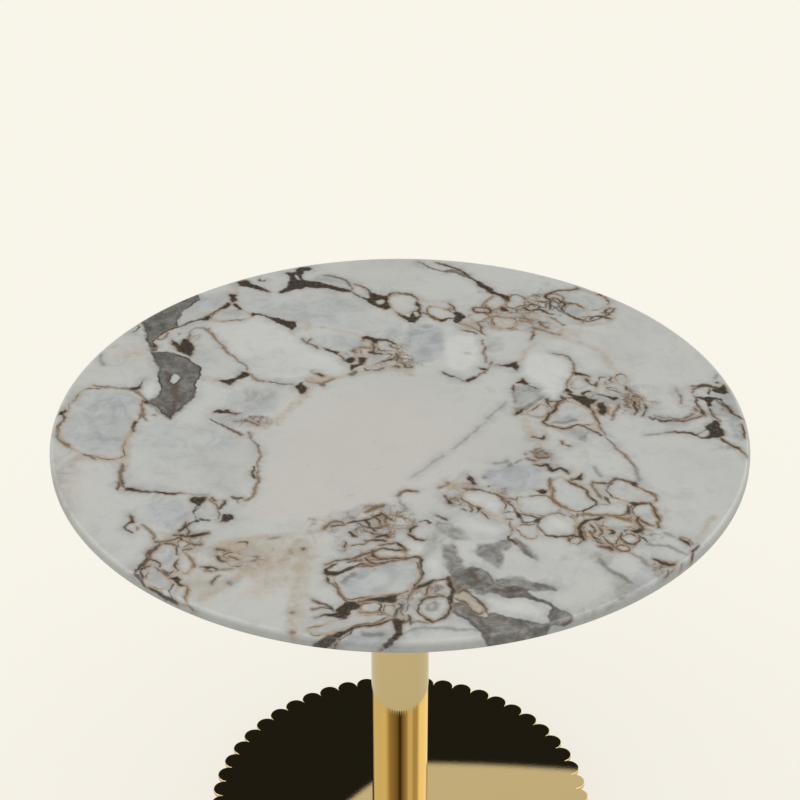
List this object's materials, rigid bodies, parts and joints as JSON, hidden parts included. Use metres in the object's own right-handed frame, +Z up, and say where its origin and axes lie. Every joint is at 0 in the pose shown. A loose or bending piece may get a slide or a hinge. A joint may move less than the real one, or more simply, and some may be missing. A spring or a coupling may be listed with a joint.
{
  "type": "wine table",
  "caption": "Round low pedestal side table: marble-print glass top with a rounded edge on a plain polished gold column and a thin gold base plate with a scalloped edge.",
  "frame": {"origin": "on the floor, under the column's axis", "axes": "+Z up along the column's axis, -Y towards the viewer of the picture, +X to that viewer's right"},
  "size_m": [0.4999, 0.5, 0.3832],
  "materials": {
    "marble_glass": "polished, with an opaque marble print",
    "dark_film": "matt",
    "adhesive": "matt",
    "gold_metal": "mirror-polished gold plating on steel",
    "zinc_steel": "zinc plated",
    "plain_steel": "turned",
    "nylon": "matt",
    "dark_paint": "powder coat",
    "pad_rubber": "matt"
  },
  "bodies": {
    "root": {"glass_top": "marble_glass", "backing_film": "dark_film", "bond_pad": "adhesive", "mount_plate": "gold_metal", "top_stud": "zinc_steel", "top_gasket": "nylon", "upper_plug": "plain_steel", "column_tube": "gold_metal", "lower_plug": "plain_steel", "base_gasket": "nylon", "base_plate": "gold_metal", "weight_disc": "dark_paint", "base_screws": "zinc_steel", "weld_studs": "zinc_steel", "stud_washers": "zinc_steel", "stud_nuts": "zinc_steel", "foot_pads": "pad_rubber"}
  },
  "joints": []
}
